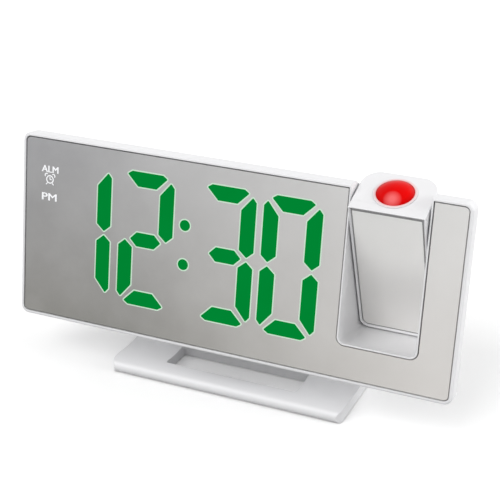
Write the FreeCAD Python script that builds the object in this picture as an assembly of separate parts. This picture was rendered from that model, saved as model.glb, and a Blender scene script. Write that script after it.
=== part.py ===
import FreeCAD, Part
import math
import os
from FreeCAD import Vector, Rotation, Placement

os.makedirs("parts", exist_ok=True)

# Projection alarm clock. World frame: +Z up, the front faces -Y, the origin is on the ground under
# the middle of the stand. The head is drawn in its own panel frame: origin at the middle of the
# mirror's lower edge, Z up the panel, Y into the clock. The arm is drawn closed, flush with the panel.

# Head, driving sizes in mm
mirror_w, mirror_h, mirror_t = 184.0, 74.2, 2.0
mirror_corner = 2.0
mirror_bevel = 0.25
seat_gap = 0.25                # clear groove round each mirror in its seat
lip = 1.6                      # frame showing round the mirror
lip_proud = 0.3                # frame stands this far in front of the mirror
rim_depth = 6.0                # depth of the front frame's rim
head_depth = 36.5              # mirror face to the back of the rear cover
wall = 2.0
frame_corner = 3.5
part_line = 0.5                # rear cover sits this far inside the frame's outline
taper_side, taper_top, taper_bottom = 8.5, 11.7, 10.1
back_corner, back_round = 10.0, 6.0
lean = 9.16                    # the head leans back by this angle in degrees
panel_origin = Vector(0, -25.9, 20.75)

# Notch and projector arm
notch_x0, notch_x1, notch_z, notch_corner = 46.7, 78.9, 13.2, 3.3
notch_lip = 0.8
well_x0, well_x1 = notch_x0 + notch_lip, notch_x1 - notch_lip
well_back = 34.2
pivot_y, pivot_z = 13.8, 62.8
sweep_r = 50.7                 # radius of the well's floor about the pivot
arm_w, arm_thick, arm_foot_thick = 29.3, 22.0, 9.5
arm_x = (well_x0 + well_x1) / 2
arm_top, arm_bottom = 76.6, 14.6
arm_shoulder = 50.0            # below this height the arm's back tapers
arm_open = 28.2                # the arm's angle from flush in the photographed pose, degrees
arm_wall = 1.8
arm_rim = 1.1
arm_mirror_t = 1.4
arm_mirror_y = 0.5             # the arm's mirror sits this deep behind a sloped rim
arm_bottom_corner, arm_top_round = 3.6, 0.5
arm_screw_z, arm_screw_xs = 30.0, (arm_x - 9.5, arm_x + 9.5)
lens_x, lens_y, lens_r, lens_rise = arm_x, arm_thick / 2, 7.2, 2.6
barrel_r, barrel_flange_r, barrel_flange_h, barrel_len = 7.7, 8.3, 0.35, 16.0
led_board_z, holder_z = 40.0, 44.6
pivot_pin_r, pivot_bore_r = 2.5, 2.56

# Tilt hinge, in the panel frame
tilt_y, tilt_z = 28.0, 12.0
knuckle_r, knuckle_half = 5.8, 19.6
recess_r, recess_half = 6.6, 20.5
ear_r, ear_half = 9.0, 28.0
tilt_pin_r, tilt_bore_r = 2.0, 2.06

# Stand, in the world frame
stand_w, stand_d, stand_t, foot_proud = 101.4, 54.0, 5.6, 0.4
stand_corner = 5.0
window_w, window_front, window_back = 57.6, -19.2, -2.0
neck_t = 8.0

# Display
digit_w, digit_h, digit_base = 24.0, 55.2, 11.8
digit_rights = (-52.1, -24.2, 10.6, 37.6)
stroke_v, stroke_h = 6.2, 6.0
lit_segments = ("bc", "abged", "abgcd", "abcdef")
colon_x, colon_zs, colon_r = -19.05, (32.7, 48.7), 2.2
film_t = 0.15
display_x0, display_x1, display_z0, display_z1 = -77.2, 38.3, 9.5, 69.4
icon_x0, icon_z0, icon_z1 = -88.0, 45.8, 66.0

# Rear face
button_z, button_r, button_travel = 50.0, 3.9, 1.0
knob_y = 31.2                  # depth of the switches' knobs, which the stems clear by the travel
button_xs = tuple(-38.0 + 14.0 * i for i in range(5))
button_names = ("projection_button", "down_button", "up_button", "alarm_button", "time_set_button")
snooze_x0, snooze_x1, snooze_y0, snooze_y1 = -44.0, 16.0, 13.5, 23.5
snooze_mid = (snooze_x0 + snooze_x1) / 2
grille_x, grille_z, grille_r = -50.0, 29.5, 12.4
cell_x, cell_z, cell_r, cell_t = -14.0, 32.4, 10.0, 3.2
usb_x, inlet_x, port_z = 20.0, 35.0, 31.0
screw_sites = ((-81.2, 16.0), (-81.2, 41.5), (41.8, 18.0), (41.8, 53.0))
post_r = 3.2
cover_screw_x = cell_x + 13.2

nodes = {}


def rounded_wire(corners, place):
    """Closed wire through corners (a, b, radius), each corner rounded; place maps (a, b) to 3-D."""
    count = len(corners)
    tangents = []
    for i in range(count):
        a, b, r = corners[i]
        here = Vector(a, b, 0)
        back = Vector(*corners[i - 1][:2], 0) - here
        ahead = Vector(*corners[(i + 1) % count][:2], 0) - here
        back.normalize()
        ahead.normalize()
        if r == 0:
            tangents.append((here, None, here))
            continue
        half = back.getAngle(ahead) / 2
        reach = r / math.tan(half)
        bisector = back + ahead
        bisector.normalize()
        middle = here + bisector * (r / math.sin(half) - r)
        tangents.append((here + back * reach, middle, here + ahead * reach))
    edges = []
    for i in range(count):
        start, middle, end = (place(p.x, p.y) if p is not None else None for p in tangents[i])
        previous = tangents[i - 1][2]
        previous = place(previous.x, previous.y)
        if (previous - start).Length > 1e-5:
            edges.append(Part.LineSegment(previous, start).toShape())
        if middle is not None:
            edges.append(Part.Arc(start, middle, end).toShape())
    return Part.Wire(edges)


def prism(corners, plane, start, end):
    """Solid with the given outline in plane xz, yz or xy, from start to end along the third axis."""
    places = {
        "xz": (lambda a, b: Vector(a, start, b), Vector(0, end - start, 0)),
        "yz": (lambda a, b: Vector(start, a, b), Vector(end - start, 0, 0)),
        "xy": (lambda a, b: Vector(a, b, start), Vector(0, 0, end - start)),
    }
    place, along = places[plane]
    return Part.Face(rounded_wire(corners, place)).extrude(along)


def rect(a0, a1, b0, b1, r=0.0):
    return [(a0, b0, r), (a1, b0, r), (a1, b1, r), (a0, b1, r)]


def box(x0, x1, y0, y1, z0, z1):
    return Part.makeBox(x1 - x0, y1 - y0, z1 - z0, Vector(x0, y0, z0))


def rod(r, start, end):
    """Cylinder of radius r from one point to another."""
    start, end = Vector(*start), Vector(*end)
    return Part.makeCylinder(r, (end - start).Length, start, end - start)


def tube(r_out, r_in, start, end):
    return rod(r_out, start, end).cut(rod(r_in, start, end))


def fuse_all(shapes):
    return shapes[0].fuse(shapes[1:]).removeSplitter() if len(shapes) > 1 else shapes[0]


def soften(shape, radius, pick):
    """Round the edges that pick accepts."""
    edges = [e for e in shape.Edges if pick(e)]
    return shape.makeFillet(radius, edges)


def in_world(shape):
    """Lean a piece drawn on the panel back into place over the stand."""
    placed = shape.copy()
    placed.Placement = Placement(panel_origin, Rotation(Vector(1, 0, 0), -lean)).multiply(placed.Placement)
    return placed


def on_arm(shape):
    """Turn a closed arm piece to the photographed pose about the arm's pivot, then place it."""
    opened = shape.copy()
    opened.rotate(Vector(0, pivot_y, pivot_z), Vector(1, 0, 0), arm_open)
    return in_world(opened)


def save(name, shape, where=in_world):
    nodes[name] = where(shape)


# Head shells

def mirror_outline(grow, corner):
    """Panel outline with its notch, grown outwards by grow all round."""
    half = mirror_w / 2 + grow
    inner = max(notch_corner - grow, 0.5)
    top = mirror_h + grow
    return [(-half, -grow, corner), (half, -grow, corner), (half, top, corner),
            (notch_x1 - grow, top, 0), (notch_x1 - grow, notch_z + grow, inner),
            (notch_x0 + grow, notch_z + grow, inner), (notch_x0 + grow, top, 0),
            (-half, top, corner)]


def sweep_floor(y, radius):
    return pivot_z - math.sqrt(radius ** 2 - (y - pivot_y) ** 2)


def well_solid(x0, x1, front, back, radius, corner):
    """Space that the arm swings in: open at the top and front, with a floor round the pivot."""
    top = mirror_h + 25.0
    floor = [Vector(x0, y, sweep_floor(y, radius)) for y in (front, pivot_y, back)]
    edges = [Part.LineSegment(Vector(x0, front, top), floor[0]).toShape(),
             Part.Arc(*floor).toShape(),
             Part.LineSegment(floor[2], Vector(x0, back, top)).toShape(),
             Part.LineSegment(Vector(x0, back, top), Vector(x0, front, top)).toShape()]
    solid = Part.Face(Part.Wire(edges)).extrude(Vector(x1 - x0, 0, 0))
    if corner:
        def on_floor(edge):
            return edge.BoundBox.ZMax < 30.0 and edge.BoundBox.YLength > 10.0
        solid = soften(solid, corner, on_floor)
    return solid


def front_frame():
    half = mirror_w / 2 + lip
    block = prism(rect(-half, half, -lip, mirror_h + lip, frame_corner), "xz", -lip_proud, rim_depth)
    block = soften(block, 1.0, lambda e: e.BoundBox.YMax < -lip_proud + 0.01)
    seat = prism(mirror_outline(seat_gap, mirror_corner + seat_gap), "xz", -2.0, mirror_t)
    ledge = 3.0
    opening = prism(mirror_outline(-ledge, 1.5), "xz", 0.0, rim_depth + 1.0)
    frame = block.cut([seat, opening, well_solid(well_x0, well_x1, -2.0, well_back, sweep_r, 2.5)])
    posts = []
    for x, z in screw_sites:
        x0, x1 = (-90.0, x) if x < 0 else (x, notch_x0 - 1.0)
        posts += [rod(post_r, (x, 3.6, z), (x, 8.0, z)), box(x0, x1, 3.6, 6.0, z - post_r, z + post_r)]
    frame = fuse_all([frame] + posts)
    return frame.cut([rod(1.1, (x, 3.0, z), (x, 9.0, z)) for x, z in screw_sites])


def mirror_panel():
    panel = prism(mirror_outline(0.0, mirror_corner), "xz", 0.0, mirror_t)
    return panel.makeChamfer(mirror_bevel, [e for e in panel.Edges if e.BoundBox.YMax < 0.01])


def cover_form(inset, front, back, corner, back_corner_r, back_fillet):
    """Tapered body of the rear cover, drawn inset mm inside its outer surface."""
    def section(y):
        along = (y - rim_depth) / (head_depth - rim_depth)
        half = mirror_w / 2 + lip - part_line - inset - taper_side * along
        low = -lip + part_line + inset + taper_bottom * along
        high = mirror_h + lip - part_line - inset - taper_top * along
        r = corner + (back_corner_r - corner) * along
        return rounded_wire(rect(-half, half, low, high, r), lambda a, b: Vector(a, y, b))
    form = Part.makeLoft([section(front), section(back)], True, True)
    return soften(form, back_fillet, lambda e: e.BoundBox.YMin > back - 0.01)


def roof_height(y):
    along = (y - rim_depth) / (head_depth - rim_depth)
    return mirror_h + lip - part_line - taper_top * along


def rear_cover():
    outer = cover_form(0.0, rim_depth, head_depth, 3.5, back_corner, back_round)
    inner = cover_form(wall + 0.15, rim_depth - 0.5, head_depth - wall, 2.5, back_corner - wall,
                       back_round - wall)
    well = well_solid(well_x0, well_x1, -2.0, well_back, sweep_r, 2.5)
    tub = well_solid(well_x0 - wall, well_x1 + wall, rim_depth, head_depth + 2, sweep_r + wall, 0)
    shell = outer.cut(inner).fuse(tub.common(outer).cut(well)).cut(well)
    inside = [rod(ear_r, (-ear_half, tilt_y, tilt_z), (ear_half, tilt_y, tilt_z)),
              box(-46, 26, 31.5, head_depth, button_z - 6.4, button_z + 6.4)]
    inside += [rod(post_r, (x, 8.1, z), (x, head_depth, z)) for x, z in screw_sites]
    inside += [box(x0, x0 + 2.8, 28.6, 32.0, button_z - 5.5, button_z + 5.5) for x0 in (-46.0, 23.2)]
    inside += [rod(5.0, (x0, pivot_y, pivot_z), (x0 + wall + 2.0, pivot_y, pivot_z))
               for x0 in (well_x0 - wall - 2.5, well_x1 + 0.5)]
    for piece in inside:
        shell = shell.fuse(piece.common(outer))
    shell = shell.removeSplitter()
    cuts = [rod(1.6, (x, 6, z), (x, 40, z)) for x, z in screw_sites]
    cuts += [rod(2.9, (x, 30.5, z), (x, 40, z)) for x, z in screw_sites]
    cuts += [rod(button_r + 0.2, (x, 25, button_z), (x, 40, button_z)) for x in button_xs]
    cuts += [rod(button_r + 1.2, (x, 25, button_z), (x, head_depth - 1.5, button_z)) for x in button_xs]
    cuts += [rod(pivot_pin_r, (well_x0 - 6, pivot_y, pivot_z), (well_x1 + 6, pivot_y, pivot_z))]
    cuts += [hinge_space(), rod(tilt_bore_r, (-40, tilt_y, tilt_z), (40, tilt_y, tilt_z))]
    cuts += [rod(grille_r + 0.1, (grille_x, 30, grille_z), (grille_x, 40, grille_z))]
    cuts += [prism(battery_outline(0.2), "xz", head_depth - 1.6, head_depth + 1),
             prism(battery_outline(-1.6), "xz", 20.0, head_depth + 1)]
    cuts += [prism(rect(usb_x - 6.8, usb_x + 6.8, port_z - 3.2, port_z + 3.2, 0.6), "xz", 30, 40),
             prism(rect(inlet_x - 4.7, inlet_x + 4.7, port_z - 1.75, port_z + 1.75, 1.6), "xz", 30, 40)]
    cuts += [snooze_hole(0.25)]
    return shell.cut(cuts)


def hinge_space():
    """Room for the stand's knuckle, and for its neck as the head tilts."""
    room = rod(recess_r, (-recess_half, tilt_y, tilt_z), (recess_half, tilt_y, tilt_z))
    reach = 24.0
    sides = []
    for angle in (-42.0, 72.0):
        turn = math.radians(angle)
        sides.append((tilt_y + reach * math.sin(turn), tilt_z - reach * math.cos(turn), 0))
    wedge = [(tilt_y, tilt_z + 2.0, 0), sides[0], (tilt_y + 4, tilt_z - reach * 1.3, 0), sides[1]]
    return room.fuse(prism(wedge, "yz", -recess_half, recess_half))


def battery_outline(grow):
    return rect(cell_x - 12.0 - grow, cell_x + 16.0 + grow, cell_z - 11.0 - grow, cell_z + 11.0 + grow, 2.5)


def battery_cover():
    lid = prism(battery_outline(0.0), "xz", head_depth - 1.5, head_depth)
    lid = soften(lid, 0.4, lambda e: e.BoundBox.YMin > head_depth - 0.01)
    rim = prism(battery_outline(-2.0), "xz", head_depth - 3.4, head_depth - 1.5)
    rim = rim.cut(prism(battery_outline(-3.2), "xz", head_depth - 4.0, head_depth - 1.5))
    grips = [box(cell_x - 9 + 1.8 * i, cell_x - 8.1 + 1.8 * i, head_depth - 0.6, head_depth + 1,
                 cell_z - 5, cell_z + 5) for i in range(4)]
    lid = lid.fuse(rim).removeSplitter().cut(grips)
    return lid.cut([rod(1.0, (cover_screw_x, 30, cell_z), (cover_screw_x, 40, cell_z)),
                    rod(1.9, (cover_screw_x, head_depth - 1.0, cell_z), (cover_screw_x, 40, cell_z))])


def on_roof(depth, height):
    """Point (y, z) on the roof's slope at a depth, raised square to the slope by height."""
    slope = math.atan(taper_top / (head_depth - rim_depth))
    return (depth + height * math.sin(slope), roof_height(depth) + height * math.cos(slope))


def roof_block(x0, x1, y0, y1, low, high, corner=0.0):
    """Block square to the roof's slope between two heights above it, its plan corners rounded."""
    side = [on_roof(y0, low), on_roof(y1, low), on_roof(y1, high), on_roof(y0, high)]
    block = prism([(*point, 0) for point in side], "yz", x0, x1)
    if not corner:
        return block
    up = Vector(0, side[3][0] - side[0][0], side[3][1] - side[0][1])
    up.normalize()

    def upright(edge):
        line = edge.Vertexes[-1].Point - edge.Vertexes[0].Point
        return abs(abs(line.dot(up)) - line.Length) < 1e-4
    return soften(block, corner, upright)


def snooze_hole(gap):
    return roof_block(snooze_x0 - gap, snooze_x1 + gap, snooze_y0 - gap, snooze_y1 + gap, -6.0, 3.0, 3.0)


def snooze_bar():
    """Long cap on the roof, with a flange that keeps it in and a stem over its switch."""
    proud = 0.9
    cap = roof_block(snooze_x0, snooze_x1, snooze_y0, snooze_y1, -2.2, proud, 2.8)
    up = Vector(0, *on_roof(0, 1)) - Vector(0, *on_roof(0, 0))
    origin = Vector(0, *on_roof(0, proud))
    cap = soften(cap, 0.6, lambda e: all(abs((v.Point - origin).dot(up)) < 0.01 for v in e.Vertexes))
    flange = roof_block(snooze_x0 - 1.2, snooze_x1 + 1.2, snooze_y0, snooze_y1, -3.2, -2.2)
    stem = roof_block(snooze_mid - 2, snooze_mid + 2, 16.5, 20.5, -4.7, -2.2)
    return fuse_all([cap, flange, stem])


def speaker_grille():
    disc = rod(grille_r, (grille_x, head_depth - 1.6, grille_z), (grille_x, head_depth, grille_z))
    disc = disc.fuse(rod(grille_r + 1.2, (grille_x, head_depth - wall - 1.2, grille_z),
                         (grille_x, head_depth - wall - 0.05, grille_z)))
    disc = disc.fuse(rod(grille_r, (grille_x, head_depth - wall - 0.2, grille_z),
                         (grille_x, head_depth, grille_z))).removeSplitter()
    holes = []
    for ring, count in enumerate((1, 6, 12, 18)):
        for i in range(count):
            turn = 2 * math.pi * i / count
            x = grille_x + ring * 3.1 * math.cos(turn)
            z = grille_z + ring * 3.1 * math.sin(turn)
            holes.append(rod(0.8, (x, 30, z), (x, 40, z)))
    return disc.cut(holes)


# Display and boards

def segment_outlines():
    """The seven segments of a digit, as corners measured from the digit's lower left corner."""
    w, h, mid = digit_w, digit_h, digit_h / 2
    top_bar = [(3.2, h - 1.3, 0.4), (5.2, h, 0.4), (w - 5.2, h, 0.4), (w - 3.2, h - 1.3, 0.4),
               (w - 7.9, h - stroke_h, 0.4), (7.9, h - stroke_h, 0.4)]
    upper_right = [(w - 1.6, h - 2.7, 0.4), (w, h - 4.6, 0.4), (w, mid + 3.3, 0.4),
                   (w - 2.9, mid + 0.8, 0.4), (w - stroke_v, mid + 3.6, 0.4), (w - stroke_v, h - 8.2, 0.4)]
    bar = 2.9
    middle = [(5.2, mid, 0.4), (8.1, mid + bar, 0.4), (w - 8.1, mid + bar, 0.4), (w - 5.2, mid, 0.4),
              (w - 8.1, mid - bar, 0.4), (8.1, mid - bar, 0.4)]

    def flip_x(points):
        return [(w - a, b, r) for a, b, r in reversed(points)]

    def flip_z(points):
        return [(a, h - b, r) for a, b, r in reversed(points)]
    return {"a": top_bar, "b": upper_right, "c": flip_z(upper_right), "d": flip_z(top_bar),
            "e": flip_x(flip_z(upper_right)), "f": flip_x(upper_right), "g": middle}


def segment_solid(digit, name, y0, y1):
    left = digit_rights[digit] - digit_w
    corners = [(left + a, digit_base + b, r) for a, b, r in segment_outlines()[name]]
    return prism(corners, "xz", y0, y1)


def digit_segments():
    return Part.makeCompound([segment_solid(i, s, -film_t, 0.0) for i in range(4) for s in lit_segments[i]])


def colon_dots():
    return Part.makeCompound([rod(colon_r, (colon_x, -film_t, z), (colon_x, 0.0, z)) for z in colon_zs])


def display_outline():
    """Outline of the display block: the digits, with a bay for the small signs at its upper left."""
    return [(display_x0, display_z0, 0), (display_x1, display_z0, 0), (display_x1, display_z1, 0),
            (display_x0, display_z1, 0), (display_x0, icon_z1, 0), (icon_x0, icon_z1, 0),
            (icon_x0, icon_z0, 0), (display_x0, icon_z0, 0)]


def post_room():
    return [rod(post_r + 0.2, (x, 0, z), (x, 12, z)) for x, z in screw_sites]


def display_reflector():
    """White block with one light cell behind every segment, lit or not."""
    block = prism(display_outline(), "xz", 2.5, 9.0)
    cells = [segment_solid(i, s, 2.0, 9.5) for i in range(4) for s in "abcdefg"]
    cells += [rod(colon_r, (colon_x, 2, z), (colon_x, 10, z)) for z in colon_zs]
    cells += [box(-85.2, -76.2, 2, 10, z0, z1) for z0, z1 in ((55.2, 63.8), (48.0, 52.4))]
    return block.cut(cells + post_room())


def led_chips():
    chips = []
    for i in range(4):
        for s in "abcdefg":
            c = segment_solid(i, s, 0.0, 1.0).CenterOfMass
            chips.append(box(c.x - 1.4, c.x + 1.4, 8.3, 9.1, c.z - 0.9, c.z + 0.9))
    chips += [box(colon_x - 1.2, colon_x + 1.2, 8.3, 9.1, z - 0.8, z + 0.8) for z in colon_zs]
    chips += [box(-82.0, -79.4, 8.3, 9.1, z - 0.8, z + 0.8) for z in (50.2, 59.5)]
    return Part.makeCompound(chips)


def main_board():
    return prism(display_outline(), "xz", 9.1, 10.7).cut(post_room())


def board_chips():
    return Part.makeCompound([box(-34, -24, 10.7, 12.7, 32, 42), box(-4, 4, 10.7, 12.3, 34, 46),
                              box(12, 20, 10.7, 12.4, 14, 19), rod(3.1, (-66, 10.7, 58), (-66, 20.5, 58)),
                              rod(2.5, (26, 10.7, 60), (26, 18.0, 60)), box(-48, -44.8, 10.7, 12.0, 18, 26)])


def switch_board():
    return box(-46, 26, 27.4, 28.55, button_z - 6, button_z + 6)


def key_switches():
    bodies = []
    for x in button_xs:
        body = box(x - 3, x + 3, 28.6, 30.4, button_z - 3, button_z + 3)
        bodies.append(body.fuse(rod(1.7, (x, 30.4, button_z), (x, knob_y, button_z))))
    return Part.makeCompound(bodies)


def rear_button():
    """Round cap with a dished face, a flange that keeps it in, and a stem that meets its switch."""
    stem_start = knob_y + button_travel + 0.05
    cap = rod(button_r, (0, head_depth - 2.2, 0), (0, head_depth + 0.9, 0))
    cap = soften(cap, 0.5, lambda e: e.BoundBox.YMin > head_depth + 0.8)
    flange = rod(button_r + 0.9, (0, head_depth - 2.5, 0), (0, head_depth - 1.6, 0))
    stem = rod(1.6, (0, stem_start, 0), (0, head_depth - 2.0, 0))
    dish = Part.makeSphere(16.0, Vector(0, head_depth + 0.9 + 15.6, 0))
    return fuse_all([cap, flange, stem]).cut(dish)


def snooze_switch():
    body = roof_block(snooze_mid - 3, snooze_mid + 3, 15.7, 21.3, -8.6, -6.8)
    return body.fuse(roof_block(snooze_mid - 1.6, snooze_mid + 1.6, 17.0, 20.0, -6.8, -6.0)).removeSplitter()


def snooze_board():
    return roof_block(snooze_mid - 14, snooze_mid + 14, 15.2, 23.0, -9.8, -8.6)


def speaker():
    """Frame, cone and edge of a small round speaker, as one turned piece."""
    axis_y = head_depth - wall - 1.3
    profile = [(0, -3.2), (4.5, -3.4), (8.8, -0.9), (10.4, -1.5), (11.2, -0.5), (13.0, -0.5), (13.0, -1.6),
               (12.0, -1.8), (7.2, -6.4), (7.2, -7.2), (0, -7.2)]
    points = [Vector(grille_x + a, axis_y + b, grille_z) for a, b in profile]
    wire = Part.makePolygon(points + [points[0]])
    return Part.Face(wire).revolve(Vector(grille_x, 0, grille_z), Vector(0, 1, 0), 360)


def speaker_magnet():
    y = head_depth - wall - 1.3 - 7.2
    return rod(6.4, (grille_x, y - 3.2, grille_z), (grille_x, y, grille_z))


def coin_cell():
    back = head_depth - 4.0
    body = rod(cell_r, (cell_x, back - cell_t, cell_z), (cell_x, back - 0.5, cell_z))
    lid = rod(cell_r - 1.0, (cell_x, back - 0.5, cell_z), (cell_x, back, cell_z))
    body = soften(body, 0.4, lambda e: e.BoundBox.YMax < back - cell_t + 0.01)
    return body.fuse(lid).removeSplitter()


def cell_contacts():
    """Sprung strip under the cell and a clip at its side."""
    y = head_depth - 4.0 - cell_t
    strip = prism([(cell_x - 9, y - 1.2, 0), (cell_x - 3, y - 1.2, 0), (cell_x, y - 0.3, 0),
                   (cell_x + 3, y - 1.2, 0), (cell_x + 9, y - 1.2, 0), (cell_x + 9, y - 1.5, 0),
                   (cell_x + 3, y - 1.5, 0), (cell_x, y - 0.6, 0), (cell_x - 3, y - 1.5, 0),
                   (cell_x - 9, y - 1.5, 0)], "xy", cell_z - 2, cell_z + 2)
    clip = box(cell_x + cell_r + 0.1, cell_x + cell_r + 0.5, y - 1.5, y + cell_t, cell_z - 2, cell_z + 2)
    return Part.makeCompound([strip, clip])


def cell_tray():
    """Open cup that holds the coin cell behind its cover."""
    back = head_depth - wall
    cup = prism(battery_outline(0.0), "xz", back - 8.3, back - 0.05)
    hollow = rod(cell_r + 0.8, (cell_x, back - 6.9, cell_z), (cell_x, back + 1, cell_z))
    mouth = prism(battery_outline(-1.6), "xz", back - 1.6, back + 1)
    return cup.cut([hollow, mouth, rod(1.0, (cover_screw_x, 20, cell_z), (cover_screw_x, 40, cell_z))])


def usb_port():
    """Charging socket: a folded steel shell round a plastic tongue."""
    back = head_depth - 0.4
    shell = prism(rect(usb_x - 6.6, usb_x + 6.6, port_z - 3.0, port_z + 3.0, 0.6), "xz", back - 14, back)
    mouth = rect(usb_x - 6.25, usb_x + 6.25, port_z - 2.6, port_z + 2.6, 0.4)
    hollow = prism(mouth, "xz", back - 12, back + 1)
    return shell.cut(hollow)


def usb_tongue():
    return box(usb_x - 5.5, usb_x + 5.5, head_depth - 12.4, head_depth - 1.4, port_z + 0.5, port_z + 2.3)


def power_inlet():
    """Small oval power socket with its centre blade."""
    back = head_depth - 0.4
    body = prism(rect(inlet_x - 4.5, inlet_x + 4.5, port_z - 1.6, port_z + 1.6, 1.5), "xz", back - 8, back)
    bore = rect(inlet_x - 4.2, inlet_x + 4.2, port_z - 1.3, port_z + 1.3, 1.25)
    hollow = prism(bore, "xz", back - 6.6, back + 1)
    blade = box(inlet_x - 3.3, inlet_x + 3.3, back - 7, back - 1.0, port_z - 0.35, port_z + 0.35)
    return body.cut(hollow).fuse(blade)


def port_board():
    return box(usb_x - 8, inlet_x + 3.0, 22.0, 34.3, port_z - 4.5, port_z - 3.2)


def pan_screw(x, z, seat, length, head_r=2.6, shank_r=1.1, head_h=1.8):
    """Cross-recess screw driven towards the front; seat is the depth of the face under its head."""
    head = rod(head_r, (x, seat, z), (x, seat + head_h, z))
    head = soften(head, 0.4 * head_h, lambda e: e.BoundBox.YMin > seat + head_h - 0.1)
    arm = 0.55 * head_r
    cross = [box(x - arm, x + arm, seat + head_h / 2, seat + 3, z - 0.3, z + 0.3),
             box(x - 0.3, x + 0.3, seat + head_h / 2, seat + 3, z - arm, z + arm)]
    return head.fuse(rod(shank_r, (x, seat - length, z), (x, seat, z))).cut(cross)


def case_screws():
    return Part.makeCompound([pan_screw(x, z, 30.5, 26.4) for x, z in screw_sites])


# Projector arm, drawn closed

def arm_back_y(z):
    """Depth of the arm's back at a height up its length."""
    if z >= arm_shoulder:
        return arm_thick
    along = (z - arm_bottom) / (arm_shoulder - arm_bottom)
    return arm_foot_thick + (arm_thick - arm_foot_thick) * along


def arm_section(z, inset, back_r):
    """Flat front and rounded back edges, at a height up the arm."""
    x0, x1 = arm_x - arm_w / 2 + inset, arm_x + arm_w / 2 - inset
    corners = [(x0, inset, 0.3), (x1, inset, 0.3), (x1, arm_back_y(z) - inset, back_r),
               (x0, arm_back_y(z) - inset, back_r)]
    return rounded_wire(corners, lambda a, b: Vector(a, b, z))


def arm_form(inset):
    """Tapered lower part and level head, trimmed to the arm's rounded front and side outlines."""
    x0, x1 = arm_x - arm_w / 2 + inset, arm_x + arm_w / 2 - inset
    foot, top = arm_bottom + inset, arm_top - inset
    foot_r, head_r = 4.0 - inset, 8.0 - inset
    shoulder = arm_section(arm_shoulder, inset, head_r)
    lower = Part.makeLoft([arm_section(foot, inset, foot_r), shoulder], True, True)
    upper = Part.makeLoft([shoulder, arm_section(top, inset, head_r)], True, True)
    front_view = [(x0, foot, arm_bottom_corner - inset), (x1, foot, arm_bottom_corner - inset),
                  (x1, top, 0.4), (x0, top, 0.4)]
    side_view = [(inset, foot - 1, 0), (arm_thick - inset, foot - 1, 0),
                 (arm_thick - inset, top, arm_top_round), (inset, top, arm_top_round)]
    form = lower.fuse(upper).removeSplitter().common(prism(front_view, "xz", -1.0, arm_thick + 1.0))
    return form.common(prism(side_view, "yz", x0 - 1, x1 + 1))


def arm_mirror_outline(grow):
    half = arm_w / 2 - arm_rim + grow
    low, high = arm_bottom + arm_rim - grow, arm_top - arm_rim + grow
    corner = arm_bottom_corner - arm_rim
    return [(arm_x - half, low, corner), (arm_x + half, low, corner), (arm_x + half, high, 0.3),
            (arm_x - half, high, 0.3)]


def arm_rim_slope():
    """Cut that slopes the rim inwards, down to the mirror's face."""
    wires = [rounded_wire(arm_mirror_outline(grow), lambda a, b, y=y: Vector(a, y, b))
             for y, grow in ((0.0, arm_rim - 0.25), (arm_mirror_y, seat_gap))]
    return Part.makeLoft(wires, True, True)


def arm_shells():
    """Front frame and back shell of the arm, parted behind the mirror's seat."""
    solid = arm_form(0.0)
    parting = 4.0
    x0, x1 = arm_x - arm_w / 2, arm_x + arm_w / 2
    hollow = arm_form(arm_wall).cut(box(0, 120, -1, arm_wall + 0.8, 0, 90))
    body = solid.cut(hollow)
    seat = prism(arm_mirror_outline(seat_gap), "xz", arm_mirror_y - 0.01, arm_mirror_y + arm_mirror_t)
    bosses = [rod(4.6, (x0 + 1, pivot_y, pivot_z), (x0 + 5, pivot_y, pivot_z)),
              rod(4.6, (x1 - 5, pivot_y, pivot_z), (x1 - 1, pivot_y, pivot_z))]
    collar = rod(barrel_r + 1.3, (lens_x, lens_y, arm_top - 12), (lens_x, lens_y, arm_top - 1))
    body = body.fuse(bosses + [collar.common(solid)]).removeSplitter()
    back_y = arm_back_y(arm_screw_z)
    posts = [rod(2.4, (x, 2.2, arm_screw_z), (x, back_y - 0.5, arm_screw_z)) for x in arm_screw_xs]
    body = body.fuse([post.common(solid) for post in posts]).removeSplitter()
    cuts = [seat, arm_rim_slope(),
            rod(barrel_r + 0.06, (lens_x, lens_y, arm_top - 20), (lens_x, lens_y, arm_top + 2)),
            rod(pivot_bore_r, (x0 - 5, pivot_y, pivot_z), (x1 + 5, pivot_y, pivot_z))]
    cuts += [rod(2.2, (x, back_y - 2.2, arm_screw_z), (x, 30, arm_screw_z)) for x in arm_screw_xs]
    cuts += [rod(0.9, (x, 2.6, arm_screw_z), (x, 30, arm_screw_z)) for x in arm_screw_xs]
    body = body.cut(cuts)
    front = body.common(box(0, 120, -2, parting, 0, 90))
    back = body.common(box(0, 120, parting, 40, 0, 90))
    return biggest(front), biggest(back)


def biggest(shape):
    return max(shape.Solids, key=lambda solid: solid.Volume)


def arm_mirror():
    return prism(arm_mirror_outline(0.0), "xz", arm_mirror_y, arm_mirror_y + arm_mirror_t)


def arm_screws():
    seat = arm_back_y(arm_screw_z) - 2.2
    return Part.makeCompound([pan_screw(x, arm_screw_z, seat, seat - 3.0, 2.0, 0.9) for x in arm_screw_xs])


def turned(profile, x, y):
    """Solid of revolution about an upright line; profile holds (radius, height) points."""
    points = [Vector(x + r, y, z) for r, z in profile]
    wire = Part.makePolygon(points + [points[0]])
    return Part.Face(wire).revolve(Vector(x, y, 0), Vector(0, 0, 1), 360)


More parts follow.
